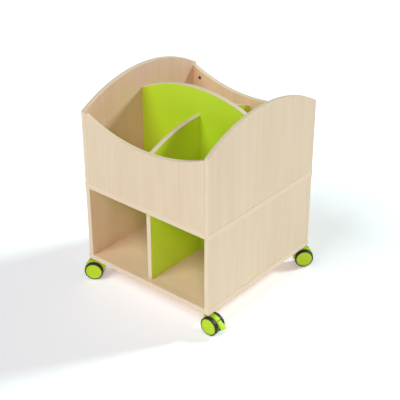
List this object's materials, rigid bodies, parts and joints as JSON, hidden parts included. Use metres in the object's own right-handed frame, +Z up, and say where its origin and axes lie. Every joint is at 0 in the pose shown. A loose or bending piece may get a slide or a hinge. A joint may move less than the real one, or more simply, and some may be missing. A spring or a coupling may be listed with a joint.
{
  "type": "book cart",
  "caption": "Rolling wooden book cart: open-topped box with curved edges and crossing dividers above, open cubbies below, on swivel casters.",
  "frame": {"origin": "on the floor, at the middle of the cart's footprint", "axes": "+Z up; -Y towards the front cubbies; +X towards the closed right-hand side"},
  "size_m": [0.718, 0.6996, 0.8269],
  "materials": {
    "maple_laminate": "satin",
    "maple_edge_band": "satin",
    "green_laminate": "satin",
    "beech": "matte",
    "zinc": "matte",
    "zinc_plated_steel": "satin",
    "lime_plastic": "gloss",
    "black_tyre": "satin"
  },
  "bodies": {
    "carcass": {"upper_left_wall": "maple_laminate", "upper_right_wall": "maple_laminate", "upper_front_wall": "maple_laminate", "upper_back_wall": "maple_laminate", "main_divider": "green_laminate", "front_cross_divider": "green_laminate", "rear_cross_divider": "green_laminate", "middle_board": "maple_laminate", "lower_left_side": "maple_laminate", "lower_right_side": "maple_laminate", "bottom_board": "maple_laminate", "front_partition": "green_laminate", "rear_partition": "green_laminate", "centre_panel": "green_laminate", "upper_wall_bands": "maple_edge_band", "divider_bands": "maple_edge_band", "board_bands": "maple_edge_band", "lower_side_bands": "maple_edge_band", "partition_bands": "maple_edge_band", "cam_locks": "zinc", "cam_bolts": "zinc_plated_steel", "dowels": "beech", "caster_screws": "zinc_plated_steel", "front_right_plate": "zinc_plated_steel", "front_right_kingpin": "zinc_plated_steel", "front_left_plate": "zinc_plated_steel", "front_left_kingpin": "zinc_plated_steel", "back_right_plate": "zinc_plated_steel", "back_right_kingpin": "zinc_plated_steel", "back_left_plate": "zinc_plated_steel", "back_left_kingpin": "zinc_plated_steel"},
    "front_right_swivel": {"front_right_housing": "lime_plastic", "front_right_axle": "zinc_plated_steel", "front_right_pedal_pin": "zinc_plated_steel"},
    "front_right_wheel_a": {"front_right_tyre_a": "black_tyre", "front_right_hub_a": "lime_plastic"},
    "front_right_wheel_b": {"front_right_tyre_b": "black_tyre", "front_right_hub_b": "lime_plastic"},
    "front_right_brake": {"front_right_pedal": "lime_plastic"},
    "front_left_swivel": {"front_left_housing": "lime_plastic", "front_left_axle": "zinc_plated_steel"},
    "front_left_wheel_a": {"front_left_tyre_a": "black_tyre", "front_left_hub_a": "lime_plastic"},
    "front_left_wheel_b": {"front_left_tyre_b": "black_tyre", "front_left_hub_b": "lime_plastic"},
    "back_right_swivel": {"back_right_housing": "lime_plastic", "back_right_axle": "zinc_plated_steel"},
    "back_right_wheel_a": {"back_right_tyre_a": "black_tyre", "back_right_hub_a": "lime_plastic"},
    "back_right_wheel_b": {"back_right_tyre_b": "black_tyre", "back_right_hub_b": "lime_plastic"},
    "back_left_swivel": {"back_left_housing": "lime_plastic", "back_left_axle": "zinc_plated_steel", "back_left_pedal_pin": "zinc_plated_steel"},
    "back_left_wheel_a": {"back_left_tyre_a": "black_tyre", "back_left_hub_a": "lime_plastic"},
    "back_left_wheel_b": {"back_left_tyre_b": "black_tyre", "back_left_hub_b": "lime_plastic"},
    "back_left_brake": {"back_left_pedal": "lime_plastic"}
  },
  "joints": [
    {"name": "front_right_turn", "type": "hinge", "parent": "carcass", "child": "front_right_swivel", "pos_m": [0.274, -0.289, 0.092], "axis": [0, 0, 1], "continuous": true},
    {"name": "front_right_spin_a", "type": "hinge", "parent": "front_right_swivel", "child": "front_right_wheel_a", "pos_m": [0.302, -0.289, 0.0375], "axis": [0, 1, 0], "continuous": true},
    {"name": "front_right_spin_b", "type": "hinge", "parent": "front_right_swivel", "child": "front_right_wheel_b", "pos_m": [0.302, -0.289, 0.0375], "axis": [0, 1, 0], "continuous": true},
    {"name": "front_right_pedal_press", "type": "hinge", "parent": "front_right_swivel", "child": "front_right_brake", "pos_m": [0.32627, -0.289, 0.05513], "axis": [0, 1, 0], "range_deg": [0, 12]},
    {"name": "front_left_turn", "type": "hinge", "parent": "carcass", "child": "front_left_swivel", "pos_m": [-0.274, -0.289, 0.092], "axis": [0, 0, 1], "continuous": true},
    {"name": "front_left_spin_a", "type": "hinge", "parent": "front_left_swivel", "child": "front_left_wheel_a", "pos_m": [-0.29774, -0.30384, 0.0375], "axis": [0.5299, -0.848, 0], "continuous": true},
    {"name": "front_left_spin_b", "type": "hinge", "parent": "front_left_swivel", "child": "front_left_wheel_b", "pos_m": [-0.29774, -0.30384, 0.0375], "axis": [0.5299, -0.848, 0], "continuous": true},
    {"name": "back_right_turn", "type": "hinge", "parent": "carcass", "child": "back_right_swivel", "pos_m": [0.274, 0.289, 0.092], "axis": [0, 0, 1], "continuous": true},
    {"name": "back_right_spin_a", "type": "hinge", "parent": "back_right_swivel", "child": "back_right_wheel_a", "pos_m": [0.2931, 0.30948, 0.0375], "axis": [-0.7314, 0.682, 0], "continuous": true},
    {"name": "back_right_spin_b", "type": "hinge", "parent": "back_right_swivel", "child": "back_right_wheel_b", "pos_m": [0.2931, 0.30948, 0.0375], "axis": [-0.7314, 0.682, 0], "continuous": true},
    {"name": "back_left_turn", "type": "hinge", "parent": "carcass", "child": "back_left_swivel", "pos_m": [-0.274, 0.289, 0.092], "axis": [0, 0, 1], "continuous": true},
    {"name": "back_left_spin_a", "type": "hinge", "parent": "back_left_swivel", "child": "back_left_wheel_a", "pos_m": [-0.30105, 0.29625, 0.0375], "axis": [-0.2588, -0.9659, 0], "continuous": true},
    {"name": "back_left_spin_b", "type": "hinge", "parent": "back_left_swivel", "child": "back_left_wheel_b", "pos_m": [-0.30105, 0.29625, 0.0375], "axis": [-0.2588, -0.9659, 0], "continuous": true},
    {"name": "back_left_pedal_press", "type": "hinge", "parent": "back_left_swivel", "child": "back_left_brake", "pos_m": [-0.32449, 0.30253, 0.05513], "axis": [-0.2588, -0.9659, 0], "range_deg": [0, 12]}
  ]
}
